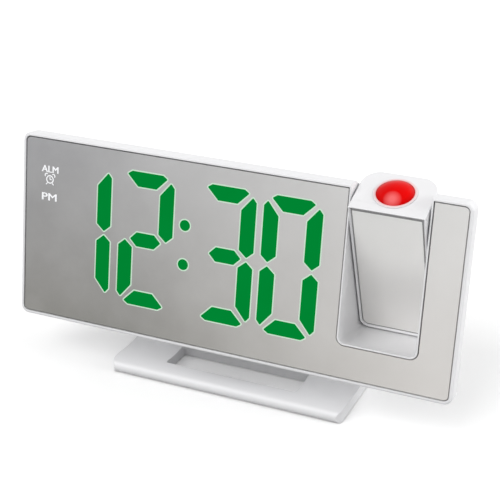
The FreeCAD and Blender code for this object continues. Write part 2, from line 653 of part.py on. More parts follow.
def lens_barrel():
    """Focus ring: a tube whose thin knurled flange carries the lens."""
    top = arm_top + barrel_flange_h
    seat, under = top - 0.9, arm_top + 0.05
    foot, foot_r = arm_top - barrel_len, 6.2
    profile = [(lens_r + 0.02, top), (barrel_flange_r - 0.15, top), (barrel_flange_r, top - 0.15),
               (barrel_flange_r, under), (barrel_r, under), (barrel_r, foot),
               (foot_r, foot), (foot_r, seat), (lens_r + 0.02, seat)]
    ring = turned(profile, lens_x, lens_y)
    notches = []
    for i in range(24):
        turn = 2 * math.pi * i / 24
        x = lens_x + (barrel_flange_r + 0.1) * math.cos(turn)
        y = lens_y + (barrel_flange_r + 0.1) * math.sin(turn)
        notches.append(rod(0.3, (x, y, arm_top - 0.5), (x, y, top + 1)))
    return ring.cut(notches)


def projection_lens():
    """Domed outer face over a flat-backed rim."""
    top = arm_top + barrel_flange_h
    base, edge_z = top - 0.9, top - 0.1
    dome_r = (lens_r ** 2 + lens_rise ** 2) / (2 * lens_rise)
    half_turn = math.asin(lens_r / dome_r) / 2
    crest = Vector(lens_x, lens_y, edge_z + lens_rise)
    middle = crest + Vector(dome_r * math.sin(half_turn), 0, -dome_r * (1 - math.cos(half_turn)))
    edge = Vector(lens_x + lens_r, lens_y, edge_z)
    foot = Vector(lens_x, lens_y, base)
    rim = Vector(lens_x + lens_r, lens_y, base)
    edges = [Part.Arc(crest, middle, edge).toShape(), Part.LineSegment(edge, rim).toShape(),
             Part.LineSegment(rim, foot).toShape(), Part.LineSegment(foot, crest).toShape()]
    return Part.Face(Part.Wire(edges)).revolve(Vector(lens_x, lens_y, 0), Vector(0, 0, 1), 360)


def condenser_lens():
    base = holder_z + 1.4
    profile = [(0, base), (5.2, base), (5.2, base + 1.0), (3.8, base + 2.3), (2.0, base + 3.1),
               (0, base + 3.3)]
    return turned(profile, lens_x, lens_y)


def centred_box(half_x, half_y, z0, z1):
    """Box about the lens's axis."""
    return box(lens_x - half_x, lens_x + half_x, lens_y - half_y, lens_y + half_y, z0, z1)


def display_slide():
    """Small dark panel that holds the projected digits."""
    return centred_box(7.0, 5.2, holder_z + 9.4, holder_z + 10.8)


def slide_holder():
    """Black frame that keeps the condenser and the slide in line with the lens."""
    ledge_z = holder_z + 1.35
    frame = centred_box(9.0, 6.4, holder_z, holder_z + 12.0)
    light_path = centred_box(5.6, 4.2, holder_z - 2, holder_z + 14)
    slot = centred_box(7.1, 5.3, holder_z + 9.3, holder_z + 14)
    lens_seat = rod(5.3, (lens_x, lens_y, ledge_z - 0.05), (lens_x, lens_y, holder_z + 9.3))
    ledge = tube(5.35, 4.4, (lens_x, lens_y, holder_z), (lens_x, lens_y, ledge_z))
    inside = ledge.common(centred_box(6.0, 6.0, holder_z, ledge_z))
    return frame.cut([light_path, slot, lens_seat]).fuse(inside).removeSplitter()


def projector_led():
    top = led_board_z + 2.4
    return centred_box(2.5, 2.5, led_board_z + 1.2, top).fuse(
        Part.makeSphere(2.0, Vector(lens_x, lens_y, top), Vector(0, 0, 1), 0, 90))


def projector_board():
    return box(arm_x - 11.5, arm_x + 11.5, 3.4, 14.2, led_board_z, led_board_z + 1.2)


def pivot_sleeves():
    """Hollow pins that carry the arm and let its wires through."""
    reach, out = arm_w / 2 - 4.6, wall + 2.5
    ends = ((well_x0 - out, arm_x - reach), (arm_x + reach, well_x1 + out))
    return Part.makeCompound([tube(pivot_pin_r, 1.5, (x0, pivot_y, pivot_z), (x1, pivot_y, pivot_z))
                              for x0, x1 in ends])


def arm_washers():
    t = 0.4
    return Part.makeCompound([tube(5.5, pivot_bore_r, (x, pivot_y, pivot_z), (x + t, pivot_y, pivot_z))
                              for x in (well_x0, well_x1 - t)])


# Stand

def stand_profile():
    """Side view of the plate: rounded nose, low crest, shallow valley, level back."""
    half = stand_d / 2
    low, high = foot_proud, stand_t
    nose = Vector(0, -half, (low + high) / 2 - 0.1)
    tail = Vector(0, half, (low + high) / 2 - 0.2)
    top = Part.BSplineCurve()
    top.interpolate([Vector(0, -half + 1.9, high - 0.35), Vector(0, -half + 6.0, high + 0.25),
                     Vector(0, -half + 13.5, high - 0.35), Vector(0, -half + 24.0, high),
                     Vector(0, half - 2.0, high - 0.4)])
    start, end = top.value(top.FirstParameter), top.value(top.LastParameter)
    foot_front, foot_back = Vector(0, -half + 1.4, low), Vector(0, half - 1.4, low)
    return Part.Wire([Part.Arc(foot_front, nose, start).toShape(), top.toShape(),
                      Part.Arc(end, tail, foot_back).toShape(),
                      Part.LineSegment(foot_back, foot_front).toShape()])


def hinge_in_world():
    return in_world(Part.Vertex(0, tilt_y, tilt_z)).Vertexes[0].Point


def stand_base():
    half = stand_w / 2
    plate = Part.Face(stand_profile()).extrude(Vector(stand_w, 0, 0))
    plate.translate(Vector(-half, 0, 0))
    plan = prism(rect(-half, half, -stand_d / 2 - 1, stand_d / 2 + 1, 0.0), "xy", -1, 20)
    plan = soften(plan, stand_corner, lambda e: e.BoundBox.ZLength > 10)
    plate = plate.common(plan)
    hinge = hinge_in_world()
    front, back = hinge.y - neck_t / 2, hinge.y + neck_t / 2
    neck = prism([(front, 2.0, 0), (front, hinge.z, 0), (back, hinge.z, 0), (back, stand_t, 9.0),
                  (back + 14.0, stand_t - 0.1, 0), (back + 14.0, 2.0, 0)], "yz", -knuckle_half, knuckle_half)
    knuckle = rod(knuckle_r, (-knuckle_half, hinge.y, hinge.z), (knuckle_half, hinge.y, hinge.z))
    base = fuse_all([plate, neck, knuckle])
    window = prism(rect(-window_w / 2, window_w / 2, window_front, window_back, 1.2), "xy", -1, 20)
    rib, skin, floor = 1.8, 2.0, 2.4
    side_in, side_out = window_w / 2 + skin, half - skin
    cell = (side_out - side_in - rib) / 2
    rows = ((-stand_d / 2 + 12.0, window_back - 1.0), (window_back + rib - 1.0, stand_d / 2 - 12.0))
    plans = [(side_in + i * (cell + rib), side_in + i * (cell + rib) + cell, y0, y1)
             for i in range(2) for y0, y1 in rows]
    plans += [(-x1, -x0, y0, y1) for x0, x1, y0, y1 in plans]
    plans += [(x0, x0 + 16.6, window_back + 3.0, stand_d / 2 - 4.0)
              for x0 in (-window_w / 2 + 1.0 + 19.5 * i for i in range(3))]
    hollows = [prism(rect(*plan, 1.5), "xy", -1, stand_t - floor) for plan in plans]
    bore = rod(tilt_bore_r, (-30, hinge.y, hinge.z), (30, hinge.y, hinge.z))
    pads = [prism(pad_outline(x, y, 0.1), "xy", -1, foot_proud + 0.6) for x, y in pad_sites()]
    return base.cut([window, bore] + hollows + pads)


def pad_sites():
    x, y = stand_w / 2 - 9.5, stand_d / 2 - 6.5
    return [(-x, -y), (x, -y), (-x, y), (x, y)]


def pad_outline(x, y, grow):
    return rect(x - 6 - grow, x + 6 + grow, y - 3 - grow, y + 3 + grow, 2.0)


def rubber_feet():
    thick = foot_proud + 0.6
    return Part.makeCompound([prism(pad_outline(x, y, 0.0), "xy", 0.0, thick) for x, y in pad_sites()])


def tilt_pin():
    return rod(tilt_pin_r, (-31.4, tilt_y, tilt_z), (31.4, tilt_y, tilt_z))


def tilt_nuts():
    turns = [math.radians(60 * i) for i in range(6)]
    corners = [(tilt_y + 3.0 * math.cos(turn), tilt_z + 3.0 * math.sin(turn), 0) for turn in turns]
    pin = rod(tilt_pin_r, (-40, tilt_y, tilt_z), (40, tilt_y, tilt_z))
    return Part.makeCompound([prism(corners, "yz", x, x + 2.0).cut(pin) for x in (-30.9, 28.9)])


def tilt_washers():
    """Spring washers that give the tilt its friction."""
    t = 0.6
    starts = (knuckle_half, 28.1, -knuckle_half - t, -28.1 - t)
    return Part.makeCompound([tube(3.4, tilt_pin_r, (x, tilt_y, tilt_z), (x + t, tilt_y, tilt_z))
                              for x in starts])


def build():
    save("front_frame", front_frame())
    save("mirror_panel", mirror_panel())
    save("rear_cover", rear_cover())
    save("digit_segments", digit_segments())
    save("colon_dots", colon_dots())
    save("diffuser_sheet", prism(display_outline(), "xz", mirror_t + 0.05, 2.45))
    save("display_reflector", display_reflector())
    save("led_chips", led_chips())
    save("main_board", main_board())
    save("board_chips", board_chips())
    save("switch_board", switch_board())
    save("key_switches", key_switches())
    for name, x in zip(button_names, button_xs):
        cap = rear_button()
        cap.translate(Vector(x, 0, button_z))
        save(name, cap)
    save("snooze_bar", snooze_bar())
    save("snooze_switch", snooze_switch())
    save("snooze_board", snooze_board())
    save("speaker", speaker())
    save("speaker_magnet", speaker_magnet())
    save("speaker_grille", speaker_grille())
    save("coin_cell", coin_cell())
    save("cell_tray", cell_tray())
    save("cell_contacts", cell_contacts())
    save("battery_cover", battery_cover())
    save("battery_cover_screw", pan_screw(cover_screw_x, cell_z, head_depth - 1.0, 5.0, 1.8, 0.9, 1.0))
    save("usb_port", usb_port())
    save("usb_tongue", usb_tongue())
    save("power_inlet", power_inlet())
    save("port_board", port_board())
    save("case_screws", case_screws())
    front, back = arm_shells()
    save("arm_front_shell", front, on_arm)
    save("arm_back_shell", back, on_arm)
    save("arm_mirror", arm_mirror(), on_arm)
    save("arm_screws", arm_screws(), on_arm)
    save("lens_barrel", lens_barrel(), on_arm)
    save("projection_lens", projection_lens(), on_arm)
    save("condenser_lens", condenser_lens(), on_arm)
    save("slide_holder", slide_holder(), on_arm)
    save("display_slide", display_slide(), on_arm)
    save("projector_led", projector_led(), on_arm)
    save("projector_board", projector_board(), on_arm)
    save("pivot_sleeves", pivot_sleeves())
    save("arm_washers", arm_washers())
    save("stand_base", stand_base(), lambda s: s)
    save("rubber_feet", rubber_feet(), lambda s: s)
    save("tilt_pin", tilt_pin())
    save("tilt_nuts", tilt_nuts())
    save("tilt_washers", tilt_washers())


build()
for name, shape in nodes.items():
    shape.exportStep("parts/%s.step" % name)
    box_now = shape.BoundBox
    print("%-20s solids %2d valid %s volume %9.1f  y %.2f..%.2f z %.2f..%.2f"
          % (name, len(shape.Solids), shape.isValid(), shape.Volume, box_now.YMin, box_now.YMax,
             box_now.ZMin, box_now.ZMax))
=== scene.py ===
import math
import bpy
import bmesh
from mathutils import Matrix, Vector


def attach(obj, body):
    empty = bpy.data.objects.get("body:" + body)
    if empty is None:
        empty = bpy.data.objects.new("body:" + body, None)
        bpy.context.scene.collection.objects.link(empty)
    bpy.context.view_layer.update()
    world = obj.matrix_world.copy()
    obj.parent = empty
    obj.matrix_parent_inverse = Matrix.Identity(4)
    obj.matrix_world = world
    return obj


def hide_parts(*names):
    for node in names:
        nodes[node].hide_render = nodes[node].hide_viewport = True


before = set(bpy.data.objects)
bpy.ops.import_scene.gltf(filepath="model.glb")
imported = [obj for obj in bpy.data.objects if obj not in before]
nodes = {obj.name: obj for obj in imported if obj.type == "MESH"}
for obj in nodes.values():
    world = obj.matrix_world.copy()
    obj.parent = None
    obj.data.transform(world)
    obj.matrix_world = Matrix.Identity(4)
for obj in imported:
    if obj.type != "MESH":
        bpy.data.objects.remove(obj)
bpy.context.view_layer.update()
scene = bpy.context.scene
mm = 0.001

# The head is drawn on an upright panel and leant back. The arm is drawn closed, then swung open.
head = {"lean": 9.16, "origin": (0.0, -25.9 * mm, 20.75 * mm)}
headMatrix = Matrix.Translation(head["origin"]) @ Matrix.Rotation(math.radians(-head["lean"]), 4, "X")
arm = {"pivot": Vector((0.0, 13.8 * mm, 62.8 * mm)), "open": 28.2,
       "lens": Vector((62.8 * mm, 11.0 * mm, 76.6 * mm))}
armTurn = Matrix.Rotation(math.radians(arm["open"]), 4, "X")
toPivot, fromPivot = Matrix.Translation(arm["pivot"]), Matrix.Translation(-arm["pivot"])
armMatrix = headMatrix @ toPivot @ armTurn @ fromPivot

weld = 0.0005 * mm  # corners nearer than this are one
sliver = 0.0002 * mm  # edges shorter than this go
sunk = 0.02 * mm  # how far print reaches under the surface it lies on
facing = 0.99  # cosine from which a face looks straight along an axis
sharpAngle = math.radians(32.0)  # steeper edges stay sharp


# Material building blocks
def newMaterial(name):
    material = bpy.data.materials.new(name)
    material.use_nodes = True
    tree = material.node_tree
    where = tree.nodes.new("ShaderNodeTexCoord").outputs["Object"]
    return material, tree, tree.nodes["Principled BSDF"], where


def addNoise(tree, where, scale, detail=4.0, roughness=0.55):
    noise = tree.nodes.new("ShaderNodeTexNoise")
    noise.inputs["Scale"].default_value = scale  # features per metre
    noise.inputs["Detail"].default_value = detail
    noise.inputs["Roughness"].default_value = roughness
    tree.links.new(where, noise.inputs["Vector"])
    return noise.outputs["Fac"]


def addRange(tree, source, low, high, fromLow=0.3, fromHigh=0.7):
    ranger = tree.nodes.new("ShaderNodeMapRange")
    for socket, value in (("From Min", fromLow), ("From Max", fromHigh), ("To Min", low), ("To Max", high)):
        ranger.inputs[socket].default_value = value
    tree.links.new(source, ranger.inputs["Value"])
    return ranger.outputs["Result"]


def addMix(tree, factor, first, second):
    mix = tree.nodes.new("ShaderNodeMix")
    mix.data_type = "RGBA"
    for name, colour in (("A", first), ("B", second)):
        if isinstance(colour, tuple):
            mix.inputs[name].default_value = (*colour, 1)
        else:
            tree.links.new(colour, mix.inputs[name])
    tree.links.new(factor, mix.inputs["Factor"])
    return mix.outputs["Result"]


def addMath(tree, operation, first, second):
    node = tree.nodes.new("ShaderNodeMath")
    node.operation = operation
    for i, value in enumerate((first, second)):
        if isinstance(value, float):
            node.inputs[i].default_value = value
        else:
            tree.links.new(value, node.inputs[i])
    return node.outputs[0]


def addBump(tree, shader, height, strength, distance, edgeRadius=0.0):
    bump = tree.nodes.new("ShaderNodeBump")
    bump.inputs["Strength"].default_value = strength
    bump.inputs["Distance"].default_value = distance
    tree.links.new(height, bump.inputs["Height"])
    if edgeRadius:  # moulded edges catch the light as if slightly rounded
        bevel = tree.nodes.new("ShaderNodeBevel")
        bevel.samples = 8
        bevel.inputs["Radius"].default_value = edgeRadius
        tree.links.new(bevel.outputs["Normal"], bump.inputs["Normal"])
    tree.links.new(bump.outputs["Normal"], shader.inputs["Normal"])


def plastic(name, look):
    material, tree, shader, where = newMaterial(name)
    cloud = addRange(tree, addNoise(tree, where, look["cloud"]), 0.0, 1.0)
    tree.links.new(addMix(tree, cloud, look["colour"], look["shade"]), shader.inputs["Base Color"])
    wear = addNoise(tree, where, look["wear"], detail=3.0)
    tree.links.new(addRange(tree, wear, *look["rough"]), shader.inputs["Roughness"])
    grain = addNoise(tree, where, look["grain"], detail=2.0)
    addBump(tree, shader, grain, look["relief"], distance=0.03 * mm, edgeRadius=look.get("edge", 0.0))
    shader.inputs["Specular IOR Level"].default_value = look.get("specular", 0.5)
    shader.inputs["Coat Weight"].default_value = look.get("coat", 0.0)
    shader.inputs["Coat Roughness"].default_value = 0.1
    return material


def metal(name, look):
    material, tree, shader, where = newMaterial(name)
    marks = addNoise(tree, where, look["brush"], detail=6.0, roughness=0.7)
    tone = addRange(tree, marks, 0.0, 1.0)
    shade = tuple(c * 0.8 for c in look["colour"])
    tree.links.new(addMix(tree, tone, shade, look["colour"]), shader.inputs["Base Color"])
    tree.links.new(addRange(tree, marks, *look["rough"]), shader.inputs["Roughness"])
    shader.inputs["Metallic"].default_value = 1.0
    addBump(tree, shader, marks, strength=0.12, distance=0.02 * mm)
    return material


def lit(name, colour, shade):
    material, tree, shader, where = newMaterial(name)
    tone = addRange(tree, addNoise(tree, where, scale=60.0, detail=2.0), 0.0, 1.0)
    shader.inputs["Base Color"].default_value = (0.0, 0.0, 0.0, 1)
    shader.inputs["Specular IOR Level"].default_value = 0.0
    shader.inputs["Roughness"].default_value = 0.6
    tree.links.new(addMix(tree, tone, shade, colour), shader.inputs["Emission Color"])
    shader.inputs["Emission Strength"].default_value = 1.0
    return material


print("materials")
whiteLook = {
    "colour": (0.84, 0.84, 0.852), "shade": (0.82, 0.82, 0.833), "cloud": 25.0, "wear": 160.0,
    "rough": (0.3, 0.34), "grain": 5000.0, "relief": 0.02, "edge": 0.22 * mm, "specular": 0.4, "coat": 0.1}
whiteGloss = plastic("whiteGloss", whiteLook)
whiteSatin = plastic("whiteSatin", {
    "colour": (0.82, 0.82, 0.83), "shade": (0.8, 0.8, 0.81), "cloud": 25.0, "wear": 160.0,
    "rough": (0.42, 0.52), "grain": 3600.0, "relief": 0.22, "edge": 0.2 * mm, "specular": 0.4})
whiteReflector = plastic("whiteReflector", {
    "colour": (0.88, 0.88, 0.87), "shade": (0.85, 0.85, 0.84), "cloud": 40.0, "wear": 220.0,
    "rough": (0.5, 0.6), "grain": 2000.0, "relief": 0.2})
greyButton = plastic("greyButton", {
    "colour": (0.56, 0.56, 0.57), "shade": (0.53, 0.53, 0.54), "cloud": 60.0, "wear": 300.0,
    "rough": (0.36, 0.46), "grain": 3600.0, "relief": 0.25, "edge": 0.15 * mm})
blackMatte = plastic("blackMatte", {
    "colour": (0.02, 0.02, 0.021), "shade": (0.032, 0.032, 0.033), "cloud": 60.0, "wear": 300.0,
    "rough": (0.45, 0.6), "grain": 3000.0, "relief": 0.3})
darkGlass = plastic("darkGlass", {
    "colour": (0.012, 0.014, 0.02), "shade": (0.02, 0.022, 0.03), "cloud": 120.0, "wear": 200.0,
    "rough": (0.05, 0.09), "grain": 800.0, "relief": 0.02, "coat": 0.5})
boardGreen = plastic("boardGreen", {
    "colour": (0.01, 0.09, 0.03), "shade": (0.02, 0.14, 0.045), "cloud": 500.0, "wear": 300.0,
    "rough": (0.3, 0.4), "grain": 1500.0, "relief": 0.2})
rubberGrey = plastic("rubberGrey", {
    "colour": (0.07, 0.07, 0.072), "shade": (0.09, 0.09, 0.092), "cloud": 80.0, "wear": 300.0,
    "rough": (0.7, 0.8), "grain": 3000.0, "relief": 0.5, "specular": 0.3})
printGrey = plastic("printGrey", {
    "colour": (0.09, 0.09, 0.095), "shade": (0.11, 0.11, 0.115), "cloud": 400.0, "wear": 600.0,
    "rough": (0.5, 0.6), "grain": 4000.0, "relief": 0.15})
steel = metal("steel", {"colour": (0.62, 0.62, 0.63), "rough": (0.24, 0.38), "brush": 900.0})
brass = metal("brass", {"colour": (0.72, 0.5, 0.2), "rough": (0.25, 0.35), "brush": 900.0})
ironDark = metal("ironDark", {"colour": (0.12, 0.12, 0.125), "rough": (0.4, 0.5), "brush": 700.0})
greenLight = lit("greenLight", (0.0, 0.235, 0.034), (0.0, 0.226, 0.031))
greenHalo = lit("greenHalo", (0.6, 0.8, 0.64), (0.57, 0.77, 0.61))
whiteSign = lit("whiteSign", (0.97, 0.98, 1.0), (0.94, 0.95, 0.97))


# A mirror whose colour is painted in bands across and up it, as painted reflection
def mirrorMaterial(name, look):
    material, tree, shader, where = newMaterial(name)
    split = tree.nodes.new("ShaderNodeSeparateXYZ")
    tree.links.new(where, split.inputs["Vector"])
    rise = addRange(tree, split.outputs["Z"], 0.0, 1.0, *look["rise"])
    lowAcross = addRange(tree, split.outputs["X"], 0.0, 1.0, *look["lowSpan"])
    highAcross = addRange(tree, split.outputs["X"], 0.0, 1.0, *look["highSpan"])
    low = addMix(tree, lowAcross, look["lowLeft"], look["lowRight"])
    high = addMix(tree, highAcross, look["highLeft"], look["highRight"])
    smear = addNoise(tree, where, scale=45.0, detail=5.0)
    haze = addRange(tree, smear, 0.0, look["haze"])
    tone = addMix(tree, haze, addMix(tree, rise, low, high), (1.0, 1.0, 1.0))
    tree.links.new(tone, shader.inputs["Base Color"])
    shader.inputs["Metallic"].default_value = look["metallic"]
    tree.links.new(addRange(tree, smear, *look["rough"]), shader.inputs["Roughness"])
    wave = addNoise(tree, where, scale=18.0, detail=1.0)
    addBump(tree, shader, wave, look["wave"], distance=0.1 * mm)
    return material


# Painted reflection: the panel's colour darkens towards its left end and its foot, in place of a reflected
# scene
mirrorFace = mirrorMaterial("mirrorFace", {
    "lowSpan": (-40 * mm, 80 * mm), "lowLeft": (0.228, 0.223, 0.209), "lowRight": (0.535, 0.516, 0.497),
    "highSpan": (-92 * mm, 92 * mm), "highLeft": (0.272, 0.272, 0.281), "highRight": (0.582, 0.577, 0.567),
    "rise": (20 * mm, 95 * mm), "metallic": 1.0, "rough": (0.02, 0.05), "wave": 0.03, "haze": 0.06})
# Painted reflection: the arm's mirror is painted pale, and lighter towards its foot to offset the shade of
# the slot
armMirrorFace = mirrorMaterial("armMirrorFace", {
    "lowSpan": (48 * mm, 78 * mm), "lowLeft": (0.86, 0.845, 0.82), "lowRight": (0.88, 0.865, 0.84),
    "highSpan": (48 * mm, 78 * mm), "highLeft": (0.77, 0.765, 0.755), "highRight": (0.8, 0.795, 0.785),
    "rise": (20 * mm, 95 * mm), "metallic": 0.35, "rough": (0.28, 0.32), "wave": 0.01, "haze": 0.06})
# Dark grey for the painted shade band round the arm's mirror
paintedEdgeShade = plastic("paintedEdgeShade", {
    "colour": (0.26, 0.26, 0.265), "shade": (0.3, 0.3, 0.305), "cloud": 90.0, "wear": 300.0,
    "rough": (0.3, 0.4), "grain": 4000.0, "relief": 0.05, "specular": 0.3})
mirrorRim = plastic("mirrorRim", {
    "colour": (0.05, 0.05, 0.052), "shade": (0.07, 0.07, 0.072), "cloud": 90.0, "wear": 300.0,
    "rough": (0.3, 0.4), "grain": 2000.0, "relief": 0.1, "specular": 0.2})

# The red lens is painted darker towards its rim as painted shade. The ring round it is painted pink near
# the lens as painted glow.
lensLook = {
    "middle": (0.76, 0.0, 0.0), "shade": (0.72, 0.001, 0.001), "cloud": 120.0, "rim": (0.52, 0.0, 0.0),
    "radius": 7.2 * mm, "rimShadeStart": 0.8, "rough": 0.3, "specular": 0.06,
    "paintedHighlight": (0.88, 0.15, 0.15), "highlightPlace": Vector((0.4 * mm, -4.6 * mm, 1.0 * mm)), "highlightSize": 3.6 * mm,
    "highlightCore": 0.3, "paintedGlow": (0.86, 0.5, 0.5), "paintedGlowStart": 0.98, "paintedGlowEnd": 8.5 * mm}
lensFoot = armMatrix @ arm["lens"]
highlightPoint = armMatrix @ (arm["lens"] + lensLook["highlightPlace"])


def addDistance(tree, where, point):
    node = tree.nodes.new("ShaderNodeVectorMath")
    node.operation = "DISTANCE"
    tree.links.new(where, node.inputs[0])
    node.inputs[1].default_value = point
    return node.outputs["Value"]


def redLensMaterial():
    material, tree, shader, where = newMaterial("redLens")
    cloud = addRange(tree, addNoise(tree, where, lensLook["cloud"], detail=2.0), 0.0, 1.0)
    middle = addMix(tree, cloud, lensLook["middle"], lensLook["shade"])
    # Painted shade: darker towards the lens's rim
    away = addDistance(tree, where, lensFoot)
    rim = addRange(tree, away, 0.0, 1.0, lensLook["rimShadeStart"] * lensLook["radius"], lensLook["radius"])
    body = addMix(tree, rim, middle, lensLook["rim"])
    # Painted highlight: a paler spot near the front edge, in place of the soft glint of a lamp in front
    fromHighlight = addDistance(tree, where, highlightPoint)
    core = lensLook["highlightCore"] * lensLook["highlightSize"]
    paintedHighlight = addRange(tree, fromHighlight, 1.0, 0.0, core, lensLook["highlightSize"])
    tree.links.new(addMix(tree, paintedHighlight, body, lensLook["paintedHighlight"]), shader.inputs["Base Color"])
    shader.inputs["Roughness"].default_value = lensLook["rough"]
    shader.inputs["Specular IOR Level"].default_value = lensLook["specular"]
    return material


def paintedGlowRing():
    material = plastic("paintedGlowRing", whiteLook)
    tree = material.node_tree
    shader = tree.nodes["Principled BSDF"]
    where = tree.nodes["Texture Coordinate"].outputs["Object"]
    plain = shader.inputs["Base Color"].links[0].from_socket
    # Painted glow: the ring turns pink near the lens, in place of red light thrown on it by the lens
    away = addDistance(tree, where, lensFoot)
    paintedGlowStart = lensLook["paintedGlowStart"] * lensLook["radius"]
    near = addRange(tree, away, 1.0, 0.0, paintedGlowStart, lensLook["paintedGlowEnd"])
    tree.links.new(addMix(tree, near, plain, lensLook["paintedGlow"]), shader.inputs["Base Color"])
    return material


def clearLensMaterial(look):
    material, tree, shader, where = newMaterial("clearLens")
    haze = addNoise(tree, where, look["haze"], detail=3.0)
    tree.links.new(addRange(tree, haze, *look["rough"]), shader.inputs["Roughness"])
    tree.links.new(addMix(tree, haze, look["shade"], look["colour"]), shader.inputs["Base Color"])
    shader.inputs["Transmission Weight"].default_value = 1.0
    shader.inputs["IOR"].default_value = look["index"]
    return material


redLens = redLensMaterial()
ringWhite = paintedGlowRing()
clearLens = clearLensMaterial({
    "colour": (0.99, 0.99, 0.98), "shade": (0.96, 0.97, 0.96), "haze": 300.0, "rough": (0.02, 0.06),
    "index": 1.49})


# Pieces made from the frame's own meshes
def link(obj, body, slotName, *replaced):
    scene.collection.objects.link(obj)
    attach(obj, body)
    if replaced:
        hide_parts(*replaced)
    return obj


def smoothMesh(mesh):
    mesh.shade_smooth()
    mesh.set_sharp_from_angle(angle=sharpAngle)


def dress(nodeName, pieceName, body, slotName, *materials, pick=None):
    mesh = nodes[nodeName].data.copy()
    mesh.name = pieceName
    bm = bmesh.new()
    bm.from_mesh(mesh)
    bmesh.ops.remove_doubles(bm, verts=bm.verts, dist=weld)
    bmesh.ops.dissolve_degenerate(bm, edges=bm.edges, dist=sliver)
    bm.normal_update()
    for face in bm.faces:
        face.material_index = 1 if pick and pick(face) else 0
    bm.to_mesh(mesh)
    bm.free()
    stored = mesh.attributes.get("custom_normal")
    if stored:  # the welded mesh gets its normals from its own faces
        mesh.attributes.remove(stored)
    mesh.materials.clear()
    for material in materials:
        mesh.materials.append(material)
    smoothMesh(mesh)
    return link(bpy.data.objects.new(pieceName, mesh), body, slotName, nodeName)


def offFace(matrix):
    front = matrix.to_3x3() @ Vector((0, -1, 0))
    return lambda face: face.normal.dot(front) < facing  # the mirror's bevel and edges, unsilvered


print("shells and mirrors")
dress("front_frame", "frontFrame", "clock_head", "white_shell", whiteGloss)
dress("rear_cover", "rearCover", "clock_head", "white_shell", whiteSatin)
dress("mirror_panel", "mirrorPanel", "clock_head", "mirror_face", mirrorFace, mirrorRim,
      pick=offFace(headMatrix))
dress("stand_base", "standBase", "stand", "white_shell", whiteGloss)
dress("arm_front_shell", "armFrontShell", "projector_arm", "white_shell", whiteGloss)
dress("arm_back_shell", "armBackShell", "projector_arm", "white_shell", whiteGloss)
dress("arm_mirror", "armMirror", "projector_arm", "mirror_face", armMirrorFace, mirrorRim,
      pick=offFace(armMatrix))
dress("lens_barrel", "focusRing", "focus_ring", "white_shell", ringWhite)
dress("digit_segments", "digitSegments", "clock_head", "green_light", greenLight)
dress("colon_dots", "colonDots", "clock_head", "green_light", greenLight)
dress("snooze_bar", "snoozeBar", "snooze_key", "white_trim", greyButton)
dress("battery_cover", "batteryCover", "clock_head", "white_shell", whiteSatin)
dress("speaker_grille", "speakerGrille", "clock_head", "white_shell", whiteSatin)
for button in ("projection", "down", "up", "alarm", "time_set"):
    pieceName = button.replace("time_set", "timeSet") + "Button"
    dress(button + "_button", pieceName, button + "_button_key", "button_grey", greyButton)
dress("projection_lens", "projectionLens", "focus_ring", "red_lens", redLens)

finishes = (
    (whiteReflector, ("display_reflector", "diffuser_sheet", "led_chips")),
    (blackMatte, ("slide_holder", "cell_tray", "board_chips", "key_switches", "snooze_switch",
                  "power_inlet", "pivot_sleeves", "arm_washers", "speaker", "usb_tongue")),
    (darkGlass, ("display_slide",)),
    (boardGreen, ("main_board", "switch_board", "snooze_board", "port_board", "projector_board")),
    (steel, ("usb_port", "tilt_pin", "tilt_nuts", "tilt_washers", "coin_cell")),
    (brass, ("cell_contacts",)),
    (ironDark, ("speaker_magnet",)),
    (redLens, ("projector_led",)),
    (clearLens, ("condenser_lens",)),
)
for material, names in finishes:
    for name in names:
        nodes[name].data.materials.clear()
        nodes[name].data.materials.append(material)


# Geometry Nodes helpers
def newTree(name, inputs):
    tree = bpy.data.node_groups.new(name, "GeometryNodeTree")
    tree.interface.new_socket("Geometry", in_out="INPUT", socket_type="NodeSocketGeometry")
    sockets = {}
    for label, value in inputs.items():
        kind = "NodeSocketInt" if isinstance(value, int) else "NodeSocketFloat"
        sockets[label] = tree.interface.new_socket(label, in_out="INPUT", socket_type=kind).identifier
    tree.interface.new_socket("Geometry", in_out="OUTPUT", socket_type="NodeSocketGeometry")
    source = tree.nodes.new("NodeGroupInput")
    target = tree.nodes.new("NodeGroupOutput")
    return tree, source.outputs, target.inputs[0], sockets


def addNode(tree, kind, links=None, **settings):
    node = tree.nodes.new(kind)
    for key, value in settings.items():
        setattr(node, key, value)
    for socket, value in (links or {}).items():
        if isinstance(value, bpy.types.NodeSocket):
            tree.links.new(value, node.inputs[socket])
        else:
            node.inputs[socket].default_value = value
    return node


def geoMath(tree, operation, first, second=0.0):
    return addNode(tree, "ShaderNodeMath", {0: first, 1: second}, operation=operation).outputs[0]


def geoVector(tree, x=0.0, y=0.0, z=0.0):
    return addNode(tree, "ShaderNodeCombineXYZ", {0: x, 1: y, 2: z}).outputs[0]


def lifted(tree, geometry, height):
    place = geoVector(tree, z=height)
    return addNode(tree, "GeometryNodeTransform", {"Geometry": geometry, "Translation": place}).outputs[0]


def finishTree(tree, geometry, target, material):
    real = addNode(tree, "GeometryNodeRealizeInstances", {0: geometry}).outputs[0]
    done = addNode(tree, "GeometryNodeSetMaterial", {"Geometry": real, "Material": material}).outputs[0]
    tree.links.new(done, target)


